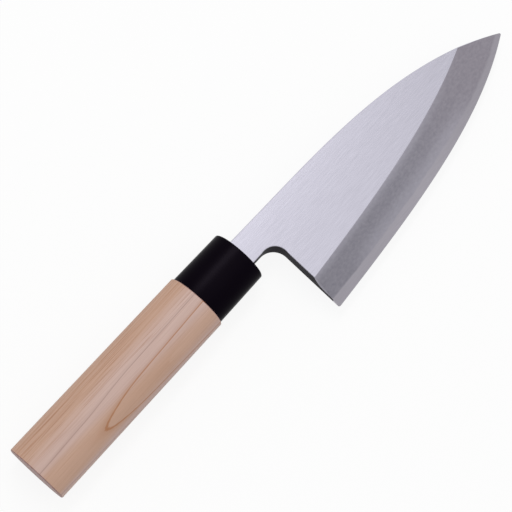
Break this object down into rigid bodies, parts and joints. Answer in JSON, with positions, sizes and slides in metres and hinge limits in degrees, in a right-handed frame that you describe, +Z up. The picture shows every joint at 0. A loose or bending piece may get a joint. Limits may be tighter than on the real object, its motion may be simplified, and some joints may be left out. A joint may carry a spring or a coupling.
{
  "type": "deba knife",
  "caption": "Single-bevel Japanese kitchen knife with a thick laminated blade, a short neck, a black ferrule and a straight oval wooden handle, for filleting and splitting fish.",
  "frame": {"origin": "middle of the plan, at the height of the handle's lowest point, with the knife lying on its flat back", "axes": "+X along the handle towards the tip, +Y towards the spine, +Z up, out of the bevelled face"},
  "size_m": [0.2952, 0.0626, 0.0224],
  "materials": {
    "soft_iron": "satin flat side, matte bevel",
    "hard_steel": "fine ground",
    "black_resin": "satin",
    "pale_wood": "sanded, unvarnished"
  },
  "bodies": {
    "root": {"blade_cladding": "soft_iron", "cutting_steel": "hard_steel", "ferrule": "black_resin", "handle": "pale_wood"}
  },
  "joints": []
}
